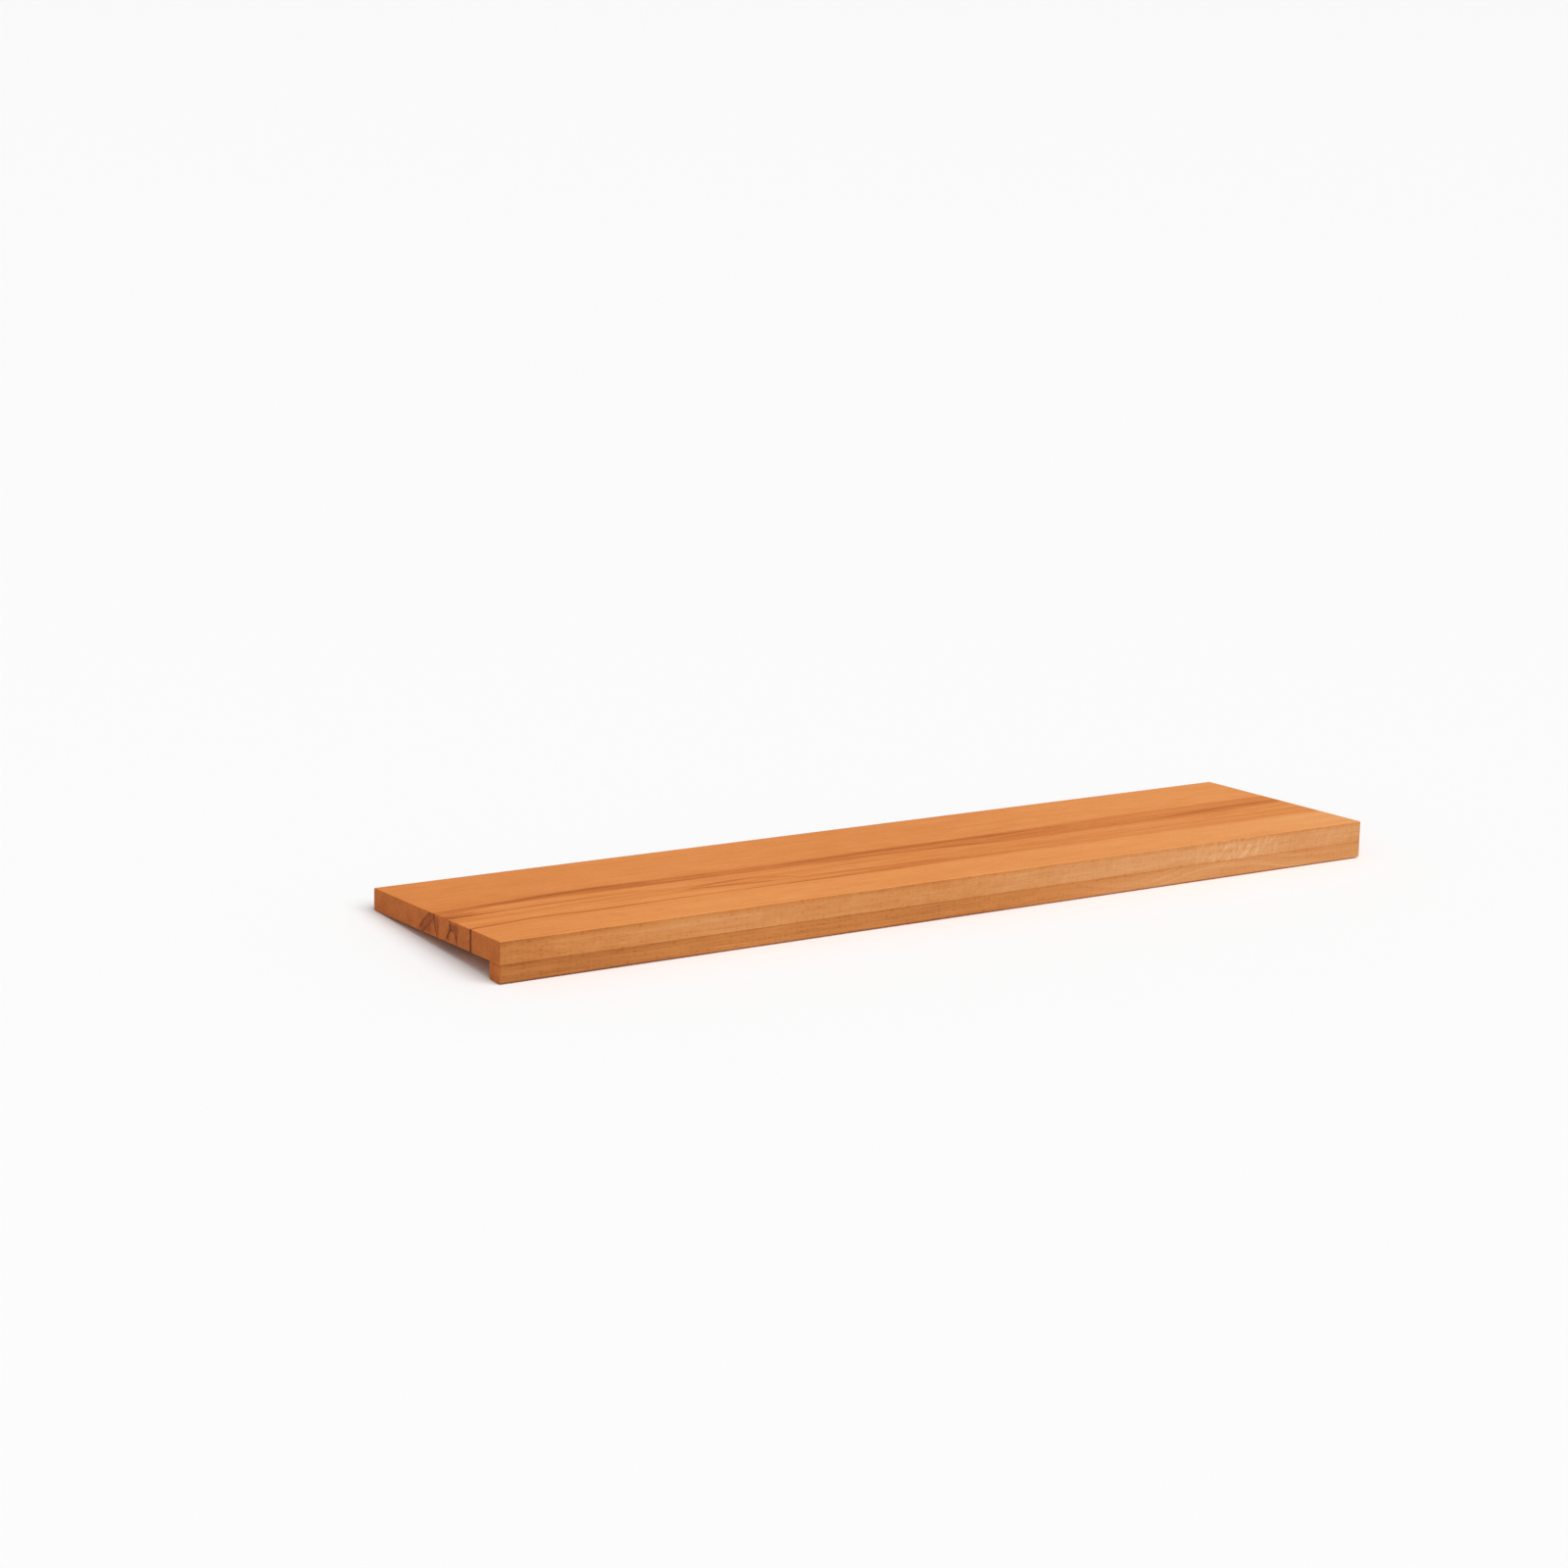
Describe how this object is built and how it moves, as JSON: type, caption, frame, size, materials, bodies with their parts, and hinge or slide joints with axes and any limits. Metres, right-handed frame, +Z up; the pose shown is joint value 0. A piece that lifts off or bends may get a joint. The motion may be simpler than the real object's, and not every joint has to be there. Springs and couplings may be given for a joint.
{
  "type": "stair tread",
  "caption": "Solid wood stair tread: a long flat plank with a square-edged strip glued under its front edge as a nosing, to lay on a step.",
  "frame": {"origin": "middle of the tread's footprint, on the floor it rests on", "axes": "+X along the tread to the right, seen from its front edge; +Y from the front edge with the nosing strip to the back edge; +Z up. At rest the tread stands on the strip's heel and its back edge, so its top rises 4.35 degrees towards the front."},
  "size_m": [1.3, 0.3026, 0.0495],
  "materials": {
    "plank_wood": "oiled satin, heart figure",
    "strip_wood": "oiled satin, flat-sawn figure"
  },
  "bodies": {
    "root": {"tread_plank": "plank_wood", "nosing_strip": "strip_wood"}
  },
  "joints": []
}
